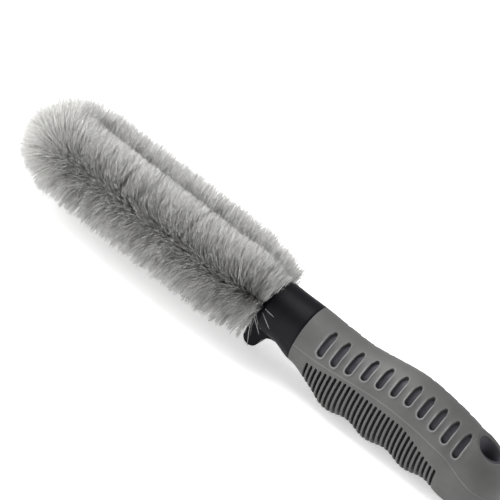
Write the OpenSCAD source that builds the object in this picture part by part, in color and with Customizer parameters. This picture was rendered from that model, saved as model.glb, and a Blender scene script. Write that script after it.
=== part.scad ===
// Wheel-rim brush: a bent, twisted-wire brush head on a moulded handle of two materials.
// X runs along the brush, with the bristle tip at -X and the handle end at +X. Z is up, and 0 is the
// surface the brush lies on. The neck and both wire legs are level, axis_z above that surface.
// "From the tip" below means measured along X from the outermost bristle ends.

/* [Overall] */
// Length from the bristle tips to the end of the handle
total_l = 270; // [268:1:290]
// Length of the rubber grip, which ends the handle
grip_l = 111.5; // [110:0.5:116]

/* [Brush head] */
// Length of a filament from the wire to its free end
bristle_r = 20; // [18:0.5:21]
// Distance between the two legs of the wire loop
leg_gap = 19.2; // [18:0.2:22]
// Diameter of each of the two wires
wire_d = 2.2; // [1.6:0.1:2.4]
// Gap left between the twisted wires by the filaments
wire_gap = 0.2; // [0.1:0.1:0.3]
// Number of full twists along each leg
leg_turns = 8; // [6:1:9]
// Number of full twists round the bend
bend_turns = 2; // [2:1:3]

/* [Neck and guard] */
// Radius of the round neck
neck_r = 12.65; // [12:0.05:13]
// Length of neck that shows in front of the grip
neck_l = 18.5; // [17:0.5:20]
// Depth of the dome on the neck's front face
dome_l = 4.5; // [3:0.5:5]
// Distance between the two wire sockets
socket_gap = 12; // [11:0.5:13]
// Depth of the wire sockets behind the neck's rim
socket_l = 28; // [20:1:32]
// Thickness of the finger guard across the brush
guard_w = 9; // [7:0.5:11]
// Thickness of the finger guard along the brush
guard_t = 8; // [6:0.5:9]
// Drop of the finger guard below the neck's axis
guard_drop = 22; // [20:0.5:23]
// Radius of the notch for the finger behind the guard
notch_r = 6.2; // [5:0.2:6.4]

/* [Grip] */
// Height of the grip's top above the neck's axis, at its front edge
crest_front = 12.8; // [12.7:0.1:13.5]
// Height of the grip's top away from the palm hump
crest = 12; // [11.5:0.1:12.5]
// Rise of the palm hump above that
hump_h = 4.6; // [3:0.2:5]
// Depth of the grip below the axis at its front edge
belly_front = 15.6; // [15:0.1:16]
// Depth of the grip below the axis in the finger valleys
belly = 21.6; // [20.5:0.1:22]
// Height of the finger waves
finger_h = 2.4; // [1.5:0.1:3]
// Distance between two finger waves
finger_pitch = 21.5; // [21:0.1:22]
// Half the grip's width at its front edge
flank_front = 13.4; // [13:0.1:14]
// Half the grip's width at the fingers
flank = 14.4; // [14:0.1:15]
// Half the grip's width where the tail begins
flank_tail = 13.4; // [13:0.1:14]
// Thickness of the rubber over the core
rubber_t = 1.4; // [1.2:0.1:2]

/* [Windows, ribs and hang hole] */
// Number of windows on each side
window_count = 11; // [8:1:11]
// Width of a window at its lower end
window_w = 3; // [2.4:0.1:3.4]
// Length of the shortest window, at the palm hump
window_l = 11.6; // [11:0.2:12.4]
// Distance between two windows
window_pitch = 7.46; // [7.2:0.02:7.5]
// Number of grooves between the ribs
groove_count = 31; // [20:1:31]
// Width of a groove
groove_w = 1.2; // [0.8:0.1:1.4]
// Distance between two grooves
groove_pitch = 2.44; // [2.3:0.01:2.47]
// Radius of the hang hole through the core
hang_r = 5.5; // [4.5:0.1:6]
// Radius of the hang hole's mouth in the rubber
mouth_r = 7.6; // [7:0.1:8]

/* [Hidden] */
LEG_BANDS = [for (side = ["near", "far"]) for (i = [1 : leg_turns]) str(side, "_bristles_", i)];

CORE_COLOR = [0.11, 0.11, 0.125];
GRIP_COLOR = [0.46, 0.46, 0.46];
WIRE_COLOR = [0.62, 0.63, 0.64];
BRISTLE_COLOR = [0.76, 0.76, 0.74];

$fn = 64;
eps = 0.5;                            // how far a cutter runs past the face it cuts
tip_x = -total_l / 2;
rim_x = total_l / 2 - grip_l - neck_l;    // rim of the neck's front face
grip_x = total_l / 2 - grip_l;            // front edge of the grip
bend_r = leg_gap / 2;
bend_x = tip_x + bristle_r + bend_r;      // centre of the wire's bend
guard_front = 6;                          // how far the guard stands in front of the neck's rim
bristle_end_x = rim_x - guard_front - 0.4;
first_finger = 24.9;                      // grip length in front of the first finger wave
tail_h = first_finger + 3 * finger_pitch; // grip length in front of the rounded tail
tail_drop = 8;                            // how far the tail's end lies below the axis
hump_centre = 57;
hump_half = 35;                           // length of the hump in front of its crest
hump_tail = 38;                           // and behind it
axis_z = belly + finger_h;
squareness = 2.2;                         // exponent of the grip's superelliptic outlines
sides = 28;                               // sides of each lofted section
wave_steps = 6;                           // sections along each finger wave

// ---- curves -------------------------------------------------------------------------------------

function mix(a, b, t) = a + (b - a) * t;
function smooth(t) = let (c = max(0, min(1, t))) c * c * (3 - 2 * c);
function signed_pow(v, p) = sign(v) * pow(abs(v), p);
function bump(h, centre, half) = abs(h - centre) < half ? 0.5 + 0.5 * cos(180 * (h - centre) / half) : 0;

// The grip's side and plan outlines. h is the distance behind the grip's front edge.
function hump(h) =
    h < hump_centre ? bump(h, hump_centre, hump_half) : pow(bump(h, hump_centre, hump_tail), 0.7);
function finger_wave(h) =
    h < first_finger - finger_pitch / 2 ? 0 : 0.5 + 0.5 * cos(360 * (h - first_finger) / finger_pitch);
function top_of(h) = mix(crest_front, crest, smooth(h / 14)) + hump_h * hump(h);
function bottom_of(h) = -mix(belly_front, belly, smooth(h / 22)) - finger_h * finger_wave(h);
function flank_of(h) = mix(flank_front, flank, smooth(h / 22)) - (flank - flank_tail) * smooth((h - 80) / 10);

// How much of its full section the tail still has, for a body that ends at h = end.
function closing(h, end) =
    h <= tail_h ? 1 : pow(1 - pow(0.99 * (h - tail_h) / (end - tail_h), squareness), 1 / squareness);

// One section of the handle, inset below the grip's surface, for a body that ends at h = end.
function handle_ring(h, inset, end) =
    let (
        base = min(h, tail_h),
        half_z = (top_of(base) - bottom_of(base)) / 2 - inset,
        half_y = flank_of(base) - inset,
        shut = closing(h, end),
        into_tail = max(0, h - tail_h) / (grip_l - tail_h),
        mid = mix((top_of(base) + bottom_of(base)) / 2, -tail_drop, pow(into_tail, 2)),
        power = 2 / mix(2, squareness, smooth(h / 14))
    )
    [for (i = [0 : sides - 1]) let (a = 360 * i / sides) [
        grip_x + h,
        half_y * shut * signed_pow(sin(a), power),
        axis_z + mid + half_z * shut * signed_pow(cos(a), power)
    ]];

// One round section of the neck.
function neck_ring(x, r) =
    [for (i = [0 : sides - 1]) let (a = 360 * i / sides) [x, r * sin(a), axis_z + r * cos(a)]];

// Stations along the grip: evenly over the finger waves, then closer together round the tail.
function stations(end) = concat(
    [0],
    [for (k = [-wave_steps : 3 * wave_steps]) first_finger + k * finger_pitch / wave_steps],
    [for (a = [15 : 15 : 75]) tail_h + (end - tail_h) * sin(a)],
    [mix(tail_h, end, 0.985), end]
);

// A closed solid through rings of equal point counts, the first and the last closed by flat ends.
module loft(rings) {
    n = len(rings[0]);
    last = len(rings) - 1;
    walls = [for (r = [0 : last - 1]) for (i = [0 : n - 1]) let (j = (i + 1) % n)
        each [
            [r * n + i, r * n + j, (r + 1) * n + j],
            [r * n + i, (r + 1) * n + j, (r + 1) * n + i]
        ]];
    ends = [
        [for (i = [n - 1 : -1 : 0]) i],
        [for (i = [0 : n - 1]) last * n + i]
    ];
    polyhedron([for (ring = rings) each ring], concat(walls, ends), convexity = 8);
}

// ---- handle -------------------------------------------------------------------------------------

core_end = grip_l - rubber_t - 0.2;

barrel_l = 7.5;       // length of the neck's round barrel behind its rim

// One section of the stretch that flares from the barrel, at t = 0, to the grip's front edge, at t = 1.
function flare_ring(t) =
    let (
        barrel = neck_ring(mix(rim_x + barrel_l, grip_x, t), neck_r),
        edge = handle_ring(0, 0, grip_l)
    )
    [for (i = [0 : sides - 1]) [
        barrel[i][0],
        mix(barrel[i][1], edge[i][1], smooth(t)),
        mix(barrel[i][2], edge[i][2], smooth(t))
    ]];

// The neck: a domed front, a round barrel, and an underside that flares out to meet the grip.
neck_rings = concat(
    [for (a = [8 : 16 : 88]) neck_ring(rim_x - dome_l * cos(a), neck_r * sin(a))],
    [for (x = [0 : barrel_l / 3 : barrel_l]) neck_ring(rim_x + x, neck_r)],
    [for (t = [0.33, 0.67]) flare_ring(t)]
);

module guard() {
    tongue_x = rim_x - guard_front;
    tongue_r = guard_t / 2;
    translate([0, guard_w / 2, axis_z])
        rotate([90, 0, 0])
            linear_extrude(guard_w) {
                translate([tongue_x, tongue_r - guard_drop])
                    square([guard_t, guard_drop - 6 - tongue_r]);
                translate([tongue_x + tongue_r, tongue_r - guard_drop])
                    circle(tongue_r);
                difference() {
                    translate([tongue_x + guard_t - 0.2, -neck_r - notch_r])
                        square([notch_r, notch_r + 4]);
                    translate([tongue_x + guard_t + notch_r, -neck_r - notch_r])
                        circle(notch_r);
                }
            }
}

module handle_core() {
    color(CORE_COLOR)
        difference() {
            union() {
                loft(concat(
                    neck_rings,
                    [handle_ring(0, 0, grip_l)],
                    [for (h = stations(core_end)) handle_ring(h, rubber_t, core_end)]
                ));
                guard();
            }
            for (side = [-1, 1])
                translate([rim_x - dome_l - eps, side * socket_gap / 2, axis_z])
                    rotate([0, 90, 0])
                        cylinder(h = dome_l + eps + socket_l + 0.3, r = stem_r + 0.1);
            hang_cutter();
        }
}

hang_x = total_l / 2 - 14.2;
mouth_depth = 3.5;    // how far the hang hole's mouths taper in from the rubber's surface
tail_top = 10.5;      // height of the tail's top beside the hang hole, above the axis
tail_bottom = -22.5;  // and of its underside

// The hang hole: a straight bore with a wide mouth at the top and the bottom.
module hang_cutter() {
    translate([hang_x, 0, -eps])
        cylinder(h = axis_z + crest + 2 * eps, r = hang_r);
    for (up = [true, false])
        translate([hang_x, 0, axis_z + (up ? tail_top - mouth_depth : tail_bottom + mouth_depth)])
            mirror([0, 0, up ? 0 : 1])
                cylinder(h = 2 * mouth_depth, r1 = hang_r, r2 = 2 * mouth_r - hang_r);
}

window_first = 12.7;  // grip length in front of the middle of the first window
window_lean = 47;     // how far a window faces out from straight up, in degrees
bow_centre = 54.5;    // grip length in front of the highest window
bow_half = 42;        // and from there to the first window

// The row of windows bows: 0 at its middle, where the windows are shortest and highest, 1 at its front end.
function bow(h) = pow((h - bow_centre) / bow_half, 2);
function window_angle(h) = 39 + 9 * bow(h);
function window_length(h) = window_l + 3.9 * bow(h);

// Outline of a window: a wide round lower end at -Y and a narrow upper end at +Y.
module window_outline(length) {
    low_r = window_w / 2;
    high_r = low_r * 0.55;
    low_y = low_r - length / 2;
    high_y = length / 2 - high_r;
    polygon(concat(
        [for (a = [180 : 36 : 360]) [low_r * cos(a), low_y + low_r * sin(a)]],
        [for (y = [0.7, 0.9]) [low_r * (y == 0.7 ? 1 : 0.82), mix(low_y, high_y, y)]],
        [for (a = [0 : 45 : 180]) [high_r * cos(a), high_y + high_r * sin(a)]],
        [for (y = [0.9, 0.7]) [-low_r * (y == 0.7 ? 1 : 0.82), mix(low_y, high_y, y)]]
    ));
}

module window_cutters() {
    for (side = [-1, 1])
        for (i = [0 : window_count - 1]) {
            h = window_first + i * window_pitch;
            a = window_angle(h);
            mid = (top_of(h) + bottom_of(h)) / 2;
            half_z = (top_of(h) - bottom_of(h)) / 2;
            translate([grip_x + h, side * flank_of(h) * sin(a), axis_z + mid + half_z * cos(a)])
                rotate([-side * window_lean, 0, 0])
                    translate([0, 0, -5])
                        linear_extrude(10)
                            mirror([0, side > 0 ? 1 : 0, 0])
                                window_outline(window_length(h));
        }
}

groove_first = 10.1;  // grip length in front of the first groove

// Top of a groove: an arched line that runs below the parting line of the grip.
function groove_top(h) = -1 - 4.2 * smooth((34 - h) / 26) - 7.6 * smooth((h - 58) / 28);

module groove_cutters() {
    for (i = [0 : groove_count - 1]) {
        h = groove_first + i * groove_pitch;
        translate([grip_x + h - groove_w / 2, -flank - eps, -eps])
            cube([groove_w, 2 * (flank + eps), axis_z + groove_top(h) + eps]);
    }
}

module grip_sleeve() {
    color(GRIP_COLOR)
        difference() {
            loft([for (h = stations(grip_l)) handle_ring(h, 0, grip_l)]);
            loft(concat(
                [[for (p = handle_ring(0, rubber_t, core_end)) p - [1, 0, 0]]],
                [for (h = stations(core_end)) handle_ring(h, rubber_t, core_end)]
            ));
            window_cutters();
            groove_cutters();
            hang_cutter();
        }
}

// ---- wire ---------------------------------------------------------------------------------------

strand_offset = (wire_d + wire_gap) / 2;  // from the stem's centre line to each wire's centre
stem_r = strand_offset + wire_d / 2;
wire_sides = 6;
rings_per_turn = 8;
leg_l = bristle_end_x - bend_x;
turn_l = leg_l / leg_turns;
taper_x = bristle_end_x - 22;             // where the legs begin to draw in towards the sockets
socket_end_x = rim_x + socket_l;

// Distance of a leg from the brush's middle plane.
function leg_y(x) = mix(leg_gap, socket_gap, smooth((x - taper_x) / (bristle_end_x - taper_x))) / 2;

// Stations of the wire's centre line, each [x, y, direction of travel, turns so far], from the near socket
// round the bend to the far socket.
leg_steps = ceil((socket_end_x - bend_x) / turn_l * rings_per_turn);
bend_steps = bend_turns * rings_per_turn;
wire_stations = concat(
    [for (i = [0 : leg_steps]) let (x = mix(socket_end_x, bend_x, i / leg_steps))
        [x, -leg_y(x), 180, (socket_end_x - x) / turn_l]],
    [for (i = [1 : bend_steps]) let (a = 180 * i / bend_steps)
        [bend_x - bend_r * sin(a), -bend_r * cos(a), 180 - a,
            (socket_end_x - bend_x) / turn_l + bend_turns * i / bend_steps]],
    [for (i = [1 : leg_steps]) let (x = mix(bend_x, socket_end_x, i / leg_steps))
        [x, leg_y(x), 0, (x + socket_end_x - 2 * bend_x) / turn_l + bend_turns]]
);

// One ring of a strand. The strand winds round the centre line, starting at the angle phase.
function strand_ring(s, phase) =
    let (
        across = [-sin(s[2]), cos(s[2]), 0],
        turn = 360 * s[3] + phase,
        centre = [s[0], s[1], axis_z] + strand_offset * (cos(turn) * across + [0, 0, sin(turn)])
    )
    [for (i = [0 : wire_sides - 1]) let (a = 360 * i / wire_sides)
        centre + wire_d / 2 * (cos(a) * across - [0, 0, sin(a)])];

module wire_strand(phase) {
    color(WIRE_COLOR)
        loft([for (s = wire_stations) strand_ring(s, phase)]);
}

// ---- bristles -----------------------------------------------------------------------------------

channel_r = stem_r + 0.3;
band_gap = 0.2;

// One band of filaments on a leg: the filaments held by one turn of the twisted wire. side is -1 or 1.
module leg_band(side, i) {
    x0 = bend_x + (i - 1) * turn_l;
    color(BRISTLE_COLOR)
        difference() {
            intersection() {
                translate([x0 + band_gap / 2, side * leg_gap / 2, axis_z])
                    rotate([0, 90, 0])
                        cylinder(h = turn_l - band_gap, r = bristle_r);
                translate([x0, side > 0 ? band_gap / 2 : -2 * bristle_r - leg_gap - band_gap / 2, 0])
                    cube([turn_l, 2 * bristle_r + leg_gap, axis_z + bristle_r + 1]);
            }
            for (y = x0 + turn_l > taper_x ? [leg_gap / 2, socket_gap / 2] : [leg_gap / 2])
                translate([x0 - eps, side * y, axis_z])
                    rotate([0, 90, 0])
                        cylinder(h = turn_l + 2 * eps, r = channel_r);
            if (x0 + turn_l > taper_x)
                translate([x0 - eps, side * (leg_gap + socket_gap) / 4 - (leg_gap - socket_gap) / 4,
                        axis_z - channel_r])
                    cube([turn_l + 2 * eps, (leg_gap - socket_gap) / 2, 2 * channel_r]);
        }
}

// Half of the bristles round the bend. side is -1 or 1.
module tip_band(side) {
    reach = bend_r + bristle_r;
    color(BRISTLE_COLOR)
        translate([bend_x - band_gap / 2, 0, axis_z])
            intersection() {
                rotate([0, 0, 90])
                    rotate_extrude(angle = 180)
                        difference() {
                            intersection() {
                                translate([bend_r, 0])
                                    circle(bristle_r);
                                translate([0, -bristle_r])
                                    square([reach, 2 * bristle_r]);
                            }
                            translate([bend_r, 0])
                                circle(channel_r);
                        }
                translate([-reach - 1, side > 0 ? band_gap / 2 : -reach - 1 - band_gap / 2, -bristle_r - 1])
                    cube([reach + 2, reach + 1, 2 * bristle_r + 2]);
            }
}

// ---- assembly -----------------------------------------------------------------------------------

handle_core();
grip_sleeve();
wire_strand(0);  // wire_strand_a
wire_strand(180);  // wire_strand_b
tip_band(-1);  // tip_bristles_near
tip_band(1);  // tip_bristles_far
for (i = [1 : leg_turns]) {
    leg_band(-1, i);
    leg_band(1, i);
}
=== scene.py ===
import math

import bmesh
import bpy
import numpy as np
from mathutils import Matrix, Vector, geometry


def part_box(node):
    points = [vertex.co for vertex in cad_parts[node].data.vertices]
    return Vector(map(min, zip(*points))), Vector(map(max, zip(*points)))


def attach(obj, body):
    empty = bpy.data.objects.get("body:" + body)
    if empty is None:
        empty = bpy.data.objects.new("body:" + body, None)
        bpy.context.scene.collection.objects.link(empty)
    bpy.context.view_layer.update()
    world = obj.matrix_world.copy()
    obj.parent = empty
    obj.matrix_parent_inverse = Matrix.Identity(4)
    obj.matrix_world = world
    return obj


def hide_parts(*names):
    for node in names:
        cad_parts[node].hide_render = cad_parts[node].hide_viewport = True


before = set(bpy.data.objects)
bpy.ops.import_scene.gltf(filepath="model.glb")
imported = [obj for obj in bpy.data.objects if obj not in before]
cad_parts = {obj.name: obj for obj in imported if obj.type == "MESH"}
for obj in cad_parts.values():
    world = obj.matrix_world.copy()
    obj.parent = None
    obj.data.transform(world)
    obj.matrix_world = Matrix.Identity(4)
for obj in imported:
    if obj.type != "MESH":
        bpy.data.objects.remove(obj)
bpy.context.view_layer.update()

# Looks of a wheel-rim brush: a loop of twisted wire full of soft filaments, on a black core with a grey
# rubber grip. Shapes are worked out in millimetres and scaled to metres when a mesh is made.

MM = 0.001
UP = np.array([0.0, 0.0, 1.0])
SHARP_ANGLE = math.radians(40)


def box_mm(node):
    """Lowest and highest corner of a CAD node's box, in millimetres."""
    return [np.array(corner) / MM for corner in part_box(node)]


# ---- driving sizes, in millimetres ----

TURNS = 8                                    # twists of the wire along a leg, each with its bristle node
GRIP_LOW, GRIP_HIGH = box_mm("grip_sleeve")
TIP_LOW, TIP_HIGH = box_mm("tip_bristles_far")

AXIS_Z = (TIP_LOW[2] + TIP_HIGH[2]) / 2      # height of the neck's axis and of the wire loop
BRISTLE_R = (TIP_HIGH[2] - TIP_LOW[2]) / 2   # length of a filament
LEG_Y = TIP_HIGH[1] - BRISTLE_R              # distance of each leg from the middle plane
BEND_X = TIP_HIGH[0]                         # centre of the bend
FIELD_END_X = box_mm(f"near_bristles_{TURNS}")[1][0]       # rear end of the bristle field
SOCKET_END_X = box_mm("wire_strand_a")[1][0]               # where the wire ends, inside the core
SOCKET_Y, SOCKET_R = 6.0, 2.5
TAPER_L = 22.0                               # length over which the legs draw in to the sockets
TURN_L = (FIELD_END_X - BEND_X) / TURNS
WIRE_R = 1.1
STRAND_OFFSET = 1.2                          # from the stem's centre line to each wire's centre

GRIP_X = GRIP_LOW[0]                         # front edge of the grip
GRIP_L = GRIP_HIGH[0] - GRIP_X
NECK_L = 18.5                                # neck in front of the grip
RIM_X = GRIP_X - NECK_L
NECK_R = 12.65
BARREL_L = 7.5                               # length of the neck's round barrel behind its rim
DOME_L = 4.5                                 # length of the domed front of the neck
GUARD_FRONT, GUARD_T, GUARD_W, GUARD_DROP = 6.0, 8.0, 9.0, 22.0
NOTCH_R = 6.2
RUBBER_T = 1.4

CREST_FRONT, CREST, HUMP_H = 12.8, 12.0, 4.6
HUMP_CENTRE, HUMP_HALF, HUMP_TAIL = 57.0, 35.0, 38.0
BELLY_FRONT, BELLY, FINGER_H = 15.6, 21.6, 2.4
FINGER_PITCH, FIRST_FINGER = 21.5, 24.9
FLANK_FRONT, FLANK, FLANK_TAIL = 13.4, 14.4, 13.4
TAIL_H = FIRST_FINGER + 3 * FINGER_PITCH     # grip length in front of the rounded tail
TAIL_DROP = 8.0
SQUARENESS = 2.2

WINDOW_COUNT, WINDOW_PITCH, WINDOW_FIRST = 11, 7.46, 12.7
WINDOW_R, WINDOW_TIP_R = 1.6, 0.85           # half the width of a window at its lower and upper end
WINDOW_L, WINDOW_GROWTH = 11.6, 3.9          # length of the shortest window, and what the first adds
WINDOW_TURN, WINDOW_DROP = 39.0, 9.0         # the same for its angle round from the top, in degrees
BOW_CENTRE, BOW_HALF = 54.5, 42.0            # place of the highest window, and from there to the first one
GROOVE_COUNT, GROOVE_PITCH, GROOVE_FIRST, GROOVE_R = 31, 2.44, 10.1, 0.68
HANG_X = GRIP_HIGH[0] - 14.2
HANG_R, MOUTH_R, MOUTH_DEPTH = 5.5, 7.6, 3.5
TAIL_TOP, TAIL_BOTTOM = 10.5, -22.5          # height of the tail's surfaces beside the hang hole


# ---- curves of the grip ----

# h is the length along the grip from its front edge. Heights are from the neck's axis.

def mix(a, b, t):
    return a + (b - a) * t


def smooth(t):
    c = np.clip(t, 0.0, 1.0)
    return c * c * (3 - 2 * c)


def signed_pow(v, p):
    return np.sign(v) * np.abs(v) ** p


def bump(h, centre, half):
    return np.where(np.abs(h - centre) < half, 0.5 + 0.5 * np.cos(np.pi * (h - centre) / half), 0.0)


def hump(h):
    behind = bump(h, HUMP_CENTRE, HUMP_TAIL) ** 0.7
    return np.where(h < HUMP_CENTRE, bump(h, HUMP_CENTRE, HUMP_HALF), behind)


def top_of(h):
    return mix(CREST_FRONT, CREST, smooth(h / 14)) + HUMP_H * hump(h)


def finger_wave(h):
    wave = 0.5 + 0.5 * np.cos(2 * np.pi * (h - FIRST_FINGER) / FINGER_PITCH)
    return np.where(h < FIRST_FINGER - FINGER_PITCH / 2, 0.0, wave)


def bottom_of(h):
    return -mix(BELLY_FRONT, BELLY, smooth(h / 22)) - FINGER_H * finger_wave(h)


def flank_of(h):
    return mix(FLANK_FRONT, FLANK, smooth(h / 22)) - (FLANK - FLANK_TAIL) * smooth((h - 80) / 10)


# A point of the grip is given by u, the length along the grip, and w, the way round it from the top.
# Past TAIL_H, u follows the tail's round end, so that the whole grip is one even sheet.
ROUND = 16.0                                 # millimetres of w for each radian round the section
ONCE_ROUND = 2 * math.pi * ROUND
TAIL_U = 27.0                                # length of the tail's outline in u
END_U = TAIL_H + TAIL_U * 0.985              # where the sheet ends, at a small cap on the tail


def section(u, inset):
    """Place along the grip, middle height, half height, half width and squareness of the section at u."""
    base = np.minimum(u, TAIL_H)
    psi = np.clip((u - TAIL_H) / TAIL_U, 0, 1) * np.pi / 2
    h = base + (GRIP_L - inset - TAIL_H) * np.sin(psi)
    shut = np.maximum(1 - np.sin(psi) ** SQUARENESS, 0) ** (1 / SQUARENESS)
    into_tail = (h - base) / (GRIP_L - TAIL_H)
    mid = mix((top_of(base) + bottom_of(base)) / 2, -TAIL_DROP, into_tail ** 2)
    half_z = ((top_of(base) - bottom_of(base)) / 2 - inset) * shut
    half_y = (flank_of(base) - inset) * shut
    return h, mid, half_z, half_y, 2 / mix(2.0, SQUARENESS, smooth(h / 14))


def grip_point(u, w, inset=0.0):
    """Points of the grip's surface, in millimetres in the row frame."""
    a = w / ROUND
    h, mid, half_z, half_y, power = section(u, inset)
    y = half_y * signed_pow(np.sin(a), power)
    z = AXIS_Z + mid + half_z * signed_pow(np.cos(a), power)
    return np.stack([GRIP_X + h, y, z], axis=-1)


def grip_normal(u, w):
    """Directions that point straight out of the grip's surface."""
    step = 0.05
    along = grip_point(u + step, w) - grip_point(u - step, w)
    across = grip_point(u, w + step) - grip_point(u, w - step)
    n = np.cross(along, across)
    return n / np.maximum(np.linalg.norm(n, axis=-1, keepdims=True), 1e-9)


def way_round(u, height):
    """The w at which the section at u is at this height above the axis."""
    _, mid, half_z, _, power = section(u, 0.0)
    return ROUND * np.arccos(np.clip(signed_pow((height - mid) / half_z, 1 / power), -0.99, 0.99))


def parting_w(u):
    """Way round from the top to the mould's parting line, an arch that falls away at the tail."""
    base = np.minimum(u, TAIL_H)
    return way_round(base, -2.4 + 4.4 * bump(base, 54, 54) - 6 * smooth((u - 82) / 20))


def groove_w(u):
    """Way round from the top to the upper end of a groove: an arched line below the parting line."""
    return way_round(u, -1 - 4.2 * smooth((34 - u) / 26) - 7.6 * smooth((u - 58) / 28))


# ---- meshes ----

def add_object(name, data):
    """A new object in the scene for a mesh, a light or a camera."""
    obj = bpy.data.objects.new(name, data)
    bpy.context.scene.collection.objects.link(obj)
    return obj


def make_object(name, verts, faces, material, sharp_angle=SHARP_ANGLE):
    """A smoothly shaded mesh object from points in millimetres."""
    mesh = bpy.data.meshes.new(name)
    points = [tuple(v) for v in np.asarray(verts) * MM]
    mesh.from_pydata(points, [], [tuple(int(i) for i in face) for face in faces])
    mesh.validate()
    for polygon in mesh.polygons:
        polygon.use_smooth = True
    mesh.set_sharp_from_angle(angle=sharp_angle)
    mesh.materials.append(material)
    return add_object(name, mesh)


def tube_faces(rings, sides):
    """Faces of a closed tube through rings of points, with flat ends."""
    faces = []
    for r in range(rings - 1):
        for i in range(sides):
            j = (i + 1) % sides
            faces.append((r * sides + i, r * sides + j, (r + 1) * sides + j, (r + 1) * sides + i))
    faces.append(tuple(range(sides))[::-1])
    faces.append(tuple((rings - 1) * sides + i for i in range(sides)))
    return faces


def place(obj, slot, *nodes):
    """The piece rides on the brush's one body and stands for these CAD nodes."""
    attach(obj, "root")
    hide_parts(*nodes)


def modify(obj, kind, **settings):
    """Applies a modifier to the object's mesh."""
    modifier = obj.modifiers.new(kind.lower(), kind)
    for key, value in settings.items():
        setattr(modifier, key, value)
    graph = bpy.context.evaluated_depsgraph_get()
    mesh = bpy.data.meshes.new_from_object(obj.evaluated_get(graph), depsgraph=graph)
    old = obj.data
    obj.modifiers.clear()
    obj.data = mesh
    bpy.data.meshes.remove(old)


# ---- materials ----

def set_inputs(node, values):
    for key, value in values.items():
        node.inputs[key].default_value = value


class Nodes:
    """A short way to build a material's nodes, round a shader with these values."""

    def __init__(self, name, shader_values):
        self.material = bpy.data.materials.new(name)
        self.material.use_nodes = True
        self.tree = self.material.node_tree
        self.shader = self.tree.nodes["Principled BSDF"]
        set_inputs(self.shader, shader_values)

    def add(self, kind, values=None, **settings):
        """A new node, with values for its inputs and with its other settings."""
        node = self.tree.nodes.new(kind)
        for key, value in settings.items():
            setattr(node, key, value)
        set_inputs(node, values or {})
        return node

    def link(self, output, socket):
        self.tree.links.new(output, socket)

    def shade(self, name, output):
        """Gives the shader's input of this name."""
        self.link(output, self.shader.inputs[name])

    def blend(self, factor, a, b):
        """Colour a where the factor is 0 and colour b where it is 1."""
        node = self.add("ShaderNodeMix", data_type="RGBA")
        self.link(factor, node.inputs["Factor"])
        self.link(a, node.inputs["A"])
        self.link(b, node.inputs["B"])
        return node.outputs["Result"]

    def coords(self):
        return self.add("ShaderNodeTexCoord").outputs["Object"]

    def noise(self, scale, detail, roughness=0.5):
        node = self.add("ShaderNodeTexNoise", {"Scale": scale, "Detail": detail, "Roughness": roughness})
        self.link(self.coords(), node.inputs["Vector"])
        return node.outputs["Fac"]

    def ramp(self, source, stops):
        """Colours for a source from 0 to 1, from stops of position and colour."""
        node = self.add("ShaderNodeValToRGB")
        points = node.color_ramp.elements
        while len(points) < len(stops):
            points.new(0.5)
        for point, (position, colour) in zip(points, stops):
            point.position = position
            point.color = (*colour, 1.0)
        self.link(source, node.inputs["Fac"])
        return node.outputs["Color"]

    def span(self, source, low, high):
        """The source, from 0 to 1, stretched to run from low to high."""
        node = self.add("ShaderNodeMapRange", {"To Min": low, "To Max": high})
        self.link(source, node.inputs["Value"])
        return node.outputs["Result"]

    def bump(self, height, strength, distance, under=None):
        """Small relief on the surface, over another one if under is given."""
        node = self.add("ShaderNodeBump", {"Strength": strength, "Distance": distance})
        self.link(height, node.inputs["Height"])
        if under is not None:
            self.link(under, node.inputs["Normal"])
        return node.outputs["Normal"]


HIGHLIGHT_LAYER = "painted_highlight"                          # how much painted highlight the rubber gets at each point of its mesh


def rubber_material():
    """Matt grey moulded rubber with a fine grain and faint flow marks, paler where a highlight is painted
    on its edges.
    """
    n = Nodes("grip_rubber", {"Specular IOR Level": 0.35})
    tone = n.noise(90, 4, 0.6)
    rubber_grey = n.ramp(tone, [(0.3, (0.077, 0.077, 0.076)), (0.7, (0.092, 0.092, 0.090))])
    # a paler grey: the painted highlight on the windows' lips and along the parting line
    highlight_grey = n.ramp(tone, [(0.3, (0.170, 0.170, 0.168)), (0.7, (0.200, 0.200, 0.198))])
    painted_highlight = n.add("ShaderNodeAttribute", attribute_name=HIGHLIGHT_LAYER)
    n.shade("Base Color", n.blend(painted_highlight.outputs["Fac"], rubber_grey, highlight_grey))
    n.shade("Roughness", n.span(n.noise(400, 3), 0.50, 0.66))
    grain = n.bump(n.noise(2600, 2, 0.6), 0.25, 0.00005)
    n.shade("Normal", n.bump(n.noise(60, 2), 0.12, 0.0004, grain))
    return n.material


def core_material():
    """Black satin polypropylene with a fine grain, lightened by a painted sheen inside the grip's windows.
    """
    n = Nodes("core_plastic", {"Specular IOR Level": 0.14})
    tone = n.noise(120, 3)
    clean = n.ramp(tone, [(0.3, (0.0018, 0.0018, 0.0036)), (0.7, (0.0030, 0.0030, 0.0054))])
    # a lighter grey: painted sheen, the light that the window floors catch
    painted_sheen = n.ramp(tone, [(0.3, (0.054, 0.053, 0.063)), (0.7, (0.076, 0.075, 0.088))])
    axes = n.add("ShaderNodeSeparateXYZ")
    n.link(n.coords(), axes.inputs["Vector"])
    in_windows = n.add("ShaderNodeMath", operation="MULTIPLY")      # behind the neck and above the grooves
    for socket, (axis, start) in enumerate((("X", GRIP_X), ("Z", AXIS_Z - 0.6))):
        past = n.add("ShaderNodeMapRange", {"From Min": start * MM, "From Max": (start + 1) * MM})
        n.link(axes.outputs[axis], past.inputs["Value"])
        n.link(past.outputs["Result"], in_windows.inputs[socket])
    n.shade("Base Color", n.blend(in_windows.outputs["Value"], clean, painted_sheen))
    n.shade("Roughness", n.span(n.noise(700, 3), 0.40, 0.54))
    n.shade("Normal", n.bump(n.noise(3200, 2, 0.6), 0.2, 0.00004))
    return n.material


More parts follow.
